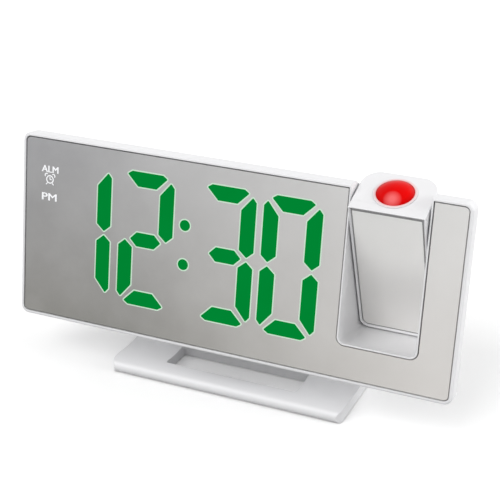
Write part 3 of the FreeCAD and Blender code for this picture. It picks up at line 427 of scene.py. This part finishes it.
def grow(name, tree, sockets, inputs, points, matrix):
    mesh = bpy.data.meshes.new(name)
    mesh.from_pydata(points, [], [])
    holder = bpy.data.objects.new(name + "Holder", mesh)
    scene.collection.objects.link(holder)
    modifier = holder.modifiers.new("grow", "NODES")
    modifier.node_group = tree
    for label, value in inputs.items():
        modifier[sockets[label]] = value
    holder.update_tag()
    bpy.context.view_layer.update()
    evaluated = holder.evaluated_get(bpy.context.evaluated_depsgraph_get())
    result = bpy.data.meshes.new_from_object(evaluated)
    holder.modifiers.clear()
    bpy.data.objects.remove(holder)
    result.transform(matrix)
    smoothMesh(result)
    result.name = name
    return bpy.data.objects.new(name, result)


print("screws")
# Shares of the head's height and radius and of the shank's length, and how many sides each has
screwForm = {"rimShare": 0.55, "crownShare": 0.74, "slotShare": 1.15, "headSides": 40, "shankSides": 24,
             "shankLift": -0.4999}


def screwTree(inputs):
    tree, given, target, sockets = newTree("crossScrews", inputs)
    low = geoMath(tree, "MULTIPLY", given["Head Height"], screwForm["rimShare"])
    high = geoMath(tree, "SUBTRACT", given["Head Height"], low)
    rim = addNode(tree, "GeometryNodeMeshCylinder", {
        "Vertices": screwForm["headSides"], "Radius": given["Head Radius"], "Depth": low}).outputs[0]
    crown = addNode(tree, "GeometryNodeMeshCone", {
        "Vertices": screwForm["headSides"], "Side Segments": 1, "Depth": high,
        "Radius Bottom": given["Head Radius"],
        "Radius Top": geoMath(tree, "MULTIPLY", given["Head Radius"], screwForm["crownShare"])}).outputs[0]
    shank = addNode(tree, "GeometryNodeMeshCylinder", {
        "Vertices": screwForm["shankSides"], "Radius": given["Shank Radius"],
        "Depth": given["Shank Length"]}).outputs[0]
    shankHeight = geoMath(tree, "MULTIPLY", given["Shank Length"], screwForm["shankLift"])
    parts = [lifted(tree, rim, geoMath(tree, "DIVIDE", low, 2.0)), lifted(tree, crown, low),
             lifted(tree, shank, shankHeight)]
    union = addNode(tree, "GeometryNodeMeshBoolean", operation="UNION")
    for part in parts:
        tree.links.new(part, union.inputs[1])
    reach = geoMath(tree, "MULTIPLY", given["Head Radius"], screwForm["slotShare"])
    slots = [addNode(tree, "GeometryNodeMeshCube", {"Size": geoVector(tree, *size)}).outputs[0]
             for size in ((reach, given["Slot Width"], given["Head Height"]),
                          (given["Slot Width"], reach, given["Head Height"]))]
    cut = addNode(tree, "GeometryNodeMeshBoolean", operation="DIFFERENCE")
    tree.links.new(union.outputs[0], cut.inputs[0])
    for slot in slots:
        tree.links.new(lifted(tree, slot, given["Head Height"]), cut.inputs[1])
    placed = addNode(tree, "GeometryNodeInstanceOnPoints", {
        "Points": given["Geometry"], "Instance": cut.outputs[0],
        "Rotation": (math.radians(-90), 0.0, 0.0)}).outputs[0]  # heads look backwards
    finishTree(tree, placed, target, steel)
    return tree, sockets


caseScrew = {"Head Radius": 2.6 * mm, "Head Height": 1.8 * mm, "Shank Radius": 1.1 * mm,
             "Shank Length": 26.4 * mm, "Slot Width": 0.6 * mm}
coverScrew = dict(caseScrew, **{"Head Radius": 1.8 * mm, "Head Height": 1.0 * mm, "Shank Radius": 0.9 * mm,
                                "Shank Length": 5.0 * mm, "Slot Width": 0.5 * mm})
armScrew = dict(caseScrew, **{"Head Radius": 2.0 * mm, "Shank Radius": 0.9 * mm, "Shank Length": 9.7 * mm})
screws, screwSockets = screwTree(caseScrew)
caseSeats = [(-81.2, 30.5, 16.0), (-81.2, 30.5, 41.5), (41.8, 30.5, 18.0), (41.8, 30.5, 53.0)]
armSeats = [(53.3, 12.737, 30.0), (72.3, 12.737, 30.0)]
screwSeats = {
    "caseScrews": (caseScrew, caseSeats, headMatrix, "clock_head", "case_screws"),
    "coverScrew": (coverScrew, [(-0.8, 35.5, 32.4)], headMatrix, "clock_head", "battery_cover_screw"),
    "armScrews": (armScrew, armSeats, armMatrix, "projector_arm", "arm_screws"),
}
for pieceName, (sizes, seats, matrix, body, node) in screwSeats.items():
    points = [tuple(v * mm for v in seat) for seat in seats]
    link(grow(pieceName, screws, screwSockets, sizes, points, matrix), body, "steel", node)

print("focus ring")
knurl = {"Ring Radius": 8.28 * mm, "Rib Count": 72, "Rib Radius": 0.13 * mm, "Rib Height": 0.2 * mm}
knurlLift = 0.18 * mm  # middle of the ribs above the lens's foot


def knurlTree(inputs):
    tree, given, target, sockets = newTree("ringKnurl", inputs)
    circle = addNode(tree, "GeometryNodeCurvePrimitiveCircle",
                     {"Resolution": 144, "Radius": given["Ring Radius"]}, mode="RADIUS").outputs[0]
    sites = addNode(tree, "GeometryNodeCurveToPoints",
                    {"Curve": circle, "Count": given["Rib Count"]}, mode="COUNT").outputs[0]
    rib = addNode(tree, "GeometryNodeMeshCylinder",
                  {"Vertices": 8, "Radius": given["Rib Radius"], "Depth": given["Rib Height"]}).outputs[0]
    ribs = addNode(tree, "GeometryNodeInstanceOnPoints", {"Points": sites, "Instance": rib}).outputs[0]
    placed = addNode(tree, "GeometryNodeInstanceOnPoints",
                     {"Points": given["Geometry"], "Instance": ribs}).outputs[0]
    finishTree(tree, placed, target, whiteGloss)
    return tree, sockets


ringTree, ringSockets = knurlTree(knurl)
ringSite = arm["lens"] + Vector((0.0, 0.0, knurlLift))
focusKnurl = grow("focusKnurl", ringTree, ringSockets, knurl, [ringSite], armMatrix)
link(focusKnurl, "focus_ring", "white_shell")

print("feet")
foot = {"Length": 12.0 * mm, "Width": 6.0 * mm, "Thickness": 1.0 * mm, "Corner": 2.0 * mm,
        "Groove": 0.35 * mm, "Rib Count": 6, "Rib Width": 0.9 * mm}
footPlaces = (41.2 * mm, 20.5 * mm)
ribShare = {"width": 0.8, "length": 0.78}


def footTree(inputs):
    tree, given, target, sockets = newTree("ribbedFeet", inputs)
    outline = addNode(tree, "GeometryNodeCurvePrimitiveQuadrilateral",
                      {"Width": given["Length"], "Height": given["Width"]}).outputs[0]
    outline = addNode(tree, "GeometryNodeFilletCurve",
                      {"Curve": outline, "Radius": given["Corner"], "Count": 8}, mode="POLY").outputs[0]
    plate = addNode(tree, "GeometryNodeFillCurve", {"Curve": outline}, mode="NGONS").outputs[0]
    body = geoMath(tree, "SUBTRACT", given["Thickness"], given["Groove"])
    raised = addNode(tree, "GeometryNodeExtrudeMesh",
                     {"Mesh": plate, "Offset Scale": body, "Individual": False})
    closed = addNode(tree, "GeometryNodeJoinGeometry")
    flipped = addNode(tree, "GeometryNodeFlipFaces", {0: plate}).outputs[0]
    for part in (raised.outputs[0], flipped):
        tree.links.new(part, closed.inputs[0])
    pad = addNode(tree, "GeometryNodeMergeByDistance",
                  {"Geometry": closed.outputs[0], "Distance": 0.001 * mm}).outputs[0]
    ribLength = geoMath(tree, "MULTIPLY", given["Width"], ribShare["width"])
    ribSize = geoVector(tree, given["Rib Width"], ribLength, given["Groove"])
    rib = addNode(tree, "GeometryNodeMeshCube", {"Size": ribSize}).outputs[0]
    span = geoMath(tree, "MULTIPLY", given["Length"], ribShare["length"])
    gaps = geoMath(tree, "SUBTRACT", given["Rib Count"], 1.0)
    step = geoVector(tree, geoMath(tree, "DIVIDE", span, gaps))
    start = geoVector(tree, geoMath(tree, "MULTIPLY", span, -0.5))
    line = addNode(tree, "GeometryNodeMeshLine", {
        "Count": given["Rib Count"], "Start Location": start, "Offset": step}, mode="OFFSET").outputs[0]
    ribs = addNode(tree, "GeometryNodeInstanceOnPoints", {"Points": line, "Instance": rib}).outputs[0]
    both = addNode(tree, "GeometryNodeJoinGeometry")
    tree.links.new(lifted(tree, pad, given["Groove"]), both.inputs[0])
    tree.links.new(lifted(tree, ribs, geoMath(tree, "MULTIPLY", given["Groove"], 0.5)), both.inputs[0])
    placed = addNode(tree, "GeometryNodeInstanceOnPoints",
                     {"Points": given["Geometry"], "Instance": both.outputs[0]}).outputs[0]
    finishTree(tree, placed, target, rubberGrey)
    return tree, sockets


feetTree, feetSockets = footTree(foot)
feetSites = [(x * footPlaces[0], y * footPlaces[1], 0.0) for x in (-1, 1) for y in (-1, 1)]
ribbedFeet = grow("ribbedFeet", feetTree, feetSockets, foot, feetSites, Matrix())
link(ribbedFeet, "stand", "foot_rubber", "rubber_feet")


# Thin plates, rims and words
def frontLoops(nodeName, matrix=headMatrix):
    bm = bmesh.new()
    bm.from_mesh(nodes[nodeName].data)
    bm.transform(matrix.inverted())
    bmesh.ops.remove_doubles(bm, verts=bm.verts, dist=weld)
    bm.normal_update()
    bmesh.ops.delete(bm, geom=[f for f in bm.faces if f.normal.y > -facing], context="FACES")
    loops, seen = [], set()
    for start in bm.verts:
        if start in seen or not start.is_boundary:
            continue
        loop, here, came = [], start, None
        while here is not None and here not in seen:
            seen.add(here)
            loop.append(Vector((here.co.x, here.co.z)))
            ahead = [e.other_vert(here) for e in here.link_edges if e.is_boundary]
            following = [v for v in ahead if v is not came and v not in seen]
            came, here = here, (following[0] if following else None)
        if len(loop) > 2:
            loops.append(loop)
    bm.free()
    return loops


def grownLoop(loop, grow):
    area = sum(a.x * b.y - b.x * a.y for a, b in zip(loop, loop[1:] + loop[:1]))
    points = loop if area > 0 else loop[::-1]
    grown = []
    for i, here in enumerate(points):
        before = (here - points[i - 1]).normalized()
        after = (points[(i + 1) % len(points)] - here).normalized()
        first = Vector((before.y, -before.x))
        out = (first + Vector((after.y, -after.x))).normalized()
        grown.append(here + out * grow / max(out.dot(first), 0.5))
    return grown


def addPlate(bm, loop, front, back):
    near = [bm.verts.new((p.x, front, p.y)) for p in loop]
    far = [bm.verts.new((p.x, back, p.y)) for p in loop]
    bm.faces.new(near)
    bm.faces.new(far[::-1])
    for i in range(len(loop)):
        j = (i + 1) % len(loop)
        bm.faces.new((near[j], near[i], far[i], far[j]))


def meshPiece(bm, name, material, matrix):
    bmesh.ops.remove_doubles(bm, verts=bm.verts, dist=sliver)
    bmesh.ops.recalc_face_normals(bm, faces=bm.faces)
    bmesh.ops.triangulate(bm, faces=[f for f in bm.faces if len(f.verts) > 4])
    bm.transform(matrix)
    mesh = bpy.data.meshes.new(name)
    bm.to_mesh(mesh)
    bm.free()
    mesh.materials.append(material)
    return bpy.data.objects.new(name, mesh)


print("digits and signs")
halo = {"grow": 0.5 * mm, "front": -0.06 * mm}  # pale edge round the lit digits
bm = bmesh.new()
for node in ("digit_segments", "colon_dots"):
    for loop in frontLoops(node):
        addPlate(bm, grownLoop(loop, halo["grow"]), halo["front"], sunk)
link(meshPiece(bm, "digitHalo", greenHalo, headMatrix), "clock_head", "green_light")

# Painted shade: a dark band round the arm's mirror, widest under its top edge, in place of the shaded rim
# and its dark reflection
margin = {"inset": 0.02 * mm, "side": 0.3 * mm, "top": 0.8 * mm, "front": 0.47 * mm, "back": 0.52 * mm}
bm = bmesh.new()
for loop in frontLoops("arm_mirror", armMatrix):
    outer = grownLoop(loop, -margin["inset"])
    highest = max(p.y for p in outer) - margin["top"]
    inner = [Vector((p.x, min(p.y, highest))) for p in grownLoop(loop, -margin["side"])]
    rows = [[bm.verts.new((p.x, y, p.y)) for p in ring]
            for ring in (outer, inner) for y in (margin["front"], margin["back"])]
    for i in range(len(loop)):
        j = (i + 1) % len(loop)
        for a, b in ((0, 2), (2, 3), (3, 1), (1, 0)):
            bm.faces.new((rows[a][i], rows[a][j], rows[b][j], rows[b][i]))
link(meshPiece(bm, "armMirrorShadeBand", paintedEdgeShade, armMatrix), "projector_arm", "black_plastic")


def wordMesh(word, width, height, thick, bold=0.0):
    curve = bpy.data.curves.new("word", "FONT")
    curve.body = word
    curve.extrude = 0.5
    holder = bpy.data.objects.new("wordHolder", curve)
    scene.collection.objects.link(holder)
    bpy.context.view_layer.update()
    evaluated = holder.evaluated_get(bpy.context.evaluated_depsgraph_get())
    mesh = bpy.data.meshes.new_from_object(evaluated)
    bpy.data.objects.remove(holder)
    low = [min(v.co[i] for v in mesh.vertices) for i in range(2)]
    high = [max(v.co[i] for v in mesh.vertices) for i in range(2)]
    scaleY = height / (high[1] - low[1])
    scaleX = width / (high[0] - low[0]) if width else scaleY
    middle = [(a + b) / 2 for a, b in zip(low, high)]
    for v in mesh.vertices:  # centred, from just under the surface to its thickness above
        depth = thick if v.co.z > 0 else -sunk
        v.co = Vector(((v.co.x - middle[0]) * scaleX, (v.co.y - middle[1]) * scaleY, depth))
    bm = bmesh.new()
    for shift in ((-bold, 0.0, bold) if bold else (0.0,)):
        mesh.transform(Matrix.Translation((shift, 0, 0)))
        bm.from_mesh(mesh)
        mesh.transform(Matrix.Translation((-shift, 0, 0)))
    return bm


def faceMatrix(origin, right, up):
    right, up = Vector(right), Vector(up)
    axes = Matrix((right, up, right.cross(up))).transposed()
    return Matrix.Translation(origin) @ axes.to_4x4()


def addLetters(target, letters, matrix):
    letters.transform(matrix)
    carried = bpy.data.meshes.new("carried")
    letters.to_mesh(carried)
    letters.free()
    target.from_mesh(carried)
    bpy.data.meshes.remove(carried)


# Signs at the left of the mirror, placed in mm from the head's middle and foot
signs = {
    "words": (("ALM", -80.75, 61.85, 7.7, 2.7), ("PM", -80.9, 50.25, 6.8, 3.0)), "bold": 0.08 * mm,
    "thick": 0.1 * mm, "centre": (-80.75, 57.6), "radius": 1.75, "ring": 0.42,
    "hands": ((0.0, 1.05), (0.8, 0.0)), "handWidth": 0.36,
    "bell": {"x": 1.6, "z": 1.6, "outer": 0.9, "inner": 0.5},
    "footTop": (1.1, -1.5), "footEnd": (1.75, -2.2), "footWidth": 0.38}


def signRing(bm, cx, cz, outer, inner, start=0.0, sweep=360.0, steps=32):
    whole = abs(sweep) >= 360.0
    count = steps if whole else steps + 1
    rows = []
    for i in range(count):
        turn = math.radians(start + sweep * i / steps)
        rows.append([bm.verts.new(((cx + math.cos(turn) * r) * mm, y, (cz + math.sin(turn) * r) * mm))
                     for r in (inner, outer) for y in (-signs["thick"], sunk)])
    for i in range(count if whole else count - 1):
        a, b = rows[i], rows[(i + 1) % count]
        for j, k in ((0, 2), (2, 3), (3, 1), (1, 0)):
            bm.faces.new((a[j], a[k], b[k], b[j]))
    if not whole:
        for row in (rows[0], rows[-1]):
            bm.faces.new((row[0], row[2], row[3], row[1]))


def signBar(bm, x0, z0, x1, z1, width):
    a, b = Vector((x0, z0)) * mm, Vector((x1, z1)) * mm
    along = (b - a).normalized()
    side = Vector((-along.y, along.x)) * width * mm / 2
    addPlate(bm, [a + side, b + side, b - side, a - side], -signs["thick"], sunk)


signMesh = bmesh.new()
for word, x, z, width, height in signs["words"]:
    letters = wordMesh(word, width * mm, height * mm, signs["thick"], signs["bold"])
    addLetters(signMesh, letters, faceMatrix((x * mm, 0, z * mm), (1, 0, 0), (0, 0, 1)))
cx, cz = signs["centre"]
signRing(signMesh, cx, cz, signs["radius"], signs["radius"] - signs["ring"])
for x, z in signs["hands"]:
    signBar(signMesh, cx, cz, cx + x, cz + z, signs["handWidth"])
bell, (topX, topZ), (endX, endZ) = signs["bell"], signs["footTop"], signs["footEnd"]
for side in (-1, 1):  # bells above, feet below
    signRing(signMesh, cx + side * bell["x"], cz + bell["z"], bell["outer"], bell["inner"],
             start=-45.0 * side, sweep=180.0, steps=12)
    signBar(signMesh, cx + side * topX, cz + topZ, cx + side * endX, cz + endZ, signs["footWidth"])
link(meshPiece(signMesh, "smallSigns", whiteSign, headMatrix), "clock_head", "white_trim")

print("rear print")
rearPrint = {
    "face": 36.5 * mm, "thick": 0.05 * mm, "height": 1.9 * mm,
    "words": (("PROJECTION", -38.0, 56.6), ("DOWN", -24.0, 56.6), ("UP", -10.0, 56.6), ("ALARM", 4.0, 56.6),
              ("TIME SET", 18.0, 56.6), ("USB", 20.0, 25.8), ("DC IN", 35.0, 25.8))}
printMesh = bmesh.new()
for word, x, z in rearPrint["words"]:
    letters = wordMesh(word, 0.0, rearPrint["height"], rearPrint["thick"])
    addLetters(printMesh, letters, faceMatrix((x * mm, rearPrint["face"], z * mm), (-1, 0, 0), (0, 0, 1)))
link(meshPiece(printMesh, "rearPrint", printGrey, headMatrix), "clock_head", "black_plastic")

# The word lies on the bar, whose top falls to the rear from its front edge
snooze = {"x": -14.0 * mm, "height": 3.0 * mm, "thick": 0.08 * mm, "y": 18.5, "proud": 0.9,
          "edgeY": 6.0, "edgeZ": 75.3, "fall": 11.7, "run": 30.5}
slope = math.atan(snooze["fall"] / snooze["run"])
sine, cosine = math.sin(slope), math.cos(slope)
roof = snooze["edgeZ"] - snooze["fall"] * (snooze["y"] - snooze["edgeY"]) / snooze["run"]
place = (snooze["x"], (snooze["y"] + snooze["proud"] * sine) * mm, (roof + snooze["proud"] * cosine) * mm)
snoozeWord = wordMesh("SNOOZE", 0.0, snooze["height"], snooze["thick"])
snoozeWord.transform(faceMatrix(place, (-1, 0, 0), (0, -cosine, sine)))
link(meshPiece(snoozeWord, "snoozeWord", printGrey, headMatrix), "snooze_key", "black_plastic")

print("studio")
# Each lamp has its strength, the way to it and its softness in degrees
studio = {
    "seenFloor": (1.0, 1.0, 1.0), "bounceFloor": (0.42, 0.42, 0.42), "lift": 0.11, "fill": 0.56,
    "floorHalf": 6.0,
    "key": (1.4, (-0.3, -0.68, 0.68), 45.0), "side": (1.1, (0.93, 0.05, 0.35), 30.0),
    "back": (0.62, (0.5, 0.75, 0.42), 40.0)}


# Rays that show the floor and backdrop, rather than light the object from them
def seenRay(tree):
    path = tree.nodes.new("ShaderNodeLightPath")
    direct = addMath(tree, "MAXIMUM", path.outputs["Is Camera Ray"], path.outputs["Is Glossy Ray"])
    return addMath(tree, "MAXIMUM", direct, path.outputs["Is Transmission Ray"])


world = bpy.data.worlds.new("studioWorld")
scene.world = world
world.use_nodes = True
tree = world.node_tree
fill = tree.nodes["Background"]
fill.inputs["Color"].default_value = (1, 1, 1, 1)
fill.inputs["Strength"].default_value = studio["fill"]
backdrop = tree.nodes.new("ShaderNodeBackground")
backdrop.inputs["Color"].default_value = (1, 1, 1, 1)
backdrop.inputs["Strength"].default_value = 1.0
choice = tree.nodes.new("ShaderNodeMixShader")
tree.links.new(seenRay(tree), choice.inputs["Fac"])
tree.links.new(fill.outputs[0], choice.inputs[1])
tree.links.new(backdrop.outputs[0], choice.inputs[2])
tree.links.new(choice.outputs[0], tree.nodes["World Output"].inputs["Surface"])

half = studio["floorHalf"]
corners = [(-half, -half, 0), (half, -half, 0), (half, half, 0), (-half, half, 0)]
floorMesh = bpy.data.meshes.new("floor")
floorMesh.from_pydata(corners, [], [(0, 1, 2, 3)])
floor = bpy.data.objects.new("floor", floorMesh)
scene.collection.objects.link(floor)
floorMaterial, tree, sheet, where = newMaterial("paleFloor")
seen = seenRay(tree)
tree.links.new(addMix(tree, seen, studio["bounceFloor"], studio["seenFloor"]), sheet.inputs["Base Color"])
sheet.inputs["Roughness"].default_value = 0.9
sheet.inputs["Specular IOR Level"].default_value = 0.0
sheet.inputs["Emission Color"].default_value = (1, 1, 1, 1)
tree.links.new(addMath(tree, "MULTIPLY", seen, studio["lift"]), sheet.inputs["Emission Strength"])
floorMesh.materials.append(floorMaterial)

for lampName in ("key", "side", "back"):
    power, towards, softness = studio[lampName]
    lamp = bpy.data.lights.new(lampName + "Light", "SUN")
    lamp.angle = math.radians(softness)
    lamp.energy = power
    lampObject = bpy.data.objects.new(lampName + "Light", lamp)
    scene.collection.objects.link(lampObject)
    lampObject.location = towards
    lampObject.rotation_euler = Vector(towards).to_track_quat("Z", "Y").to_euler()

camera = {
    "place": (190.0, -425.47, 270.63), "right": (0.91359, 0.40664, 0.0),
    "down": (0.17130, -0.38490, -0.90692), "forward": (-0.36880, 0.82855, -0.42130),
    "focal": 92.24, "sensor": 36.0, "clip": (0.01, 50.0)}
cameraData = bpy.data.cameras.new("camera")
cameraData.lens = camera["focal"]
cameraData.sensor_width = camera["sensor"]
cameraData.clip_start, cameraData.clip_end = camera["clip"]
cameraObject = bpy.data.objects.new("camera", cameraData)
scene.collection.objects.link(cameraObject)
axes = Matrix((camera["right"], [-d for d in camera["down"]], [-d for d in camera["forward"]])).transposed()
cameraObject.matrix_world = Matrix.Translation([v * mm for v in camera["place"]]) @ axes.to_4x4()
scene.camera = cameraObject
scene.view_settings.view_transform = "Standard"

print("done")
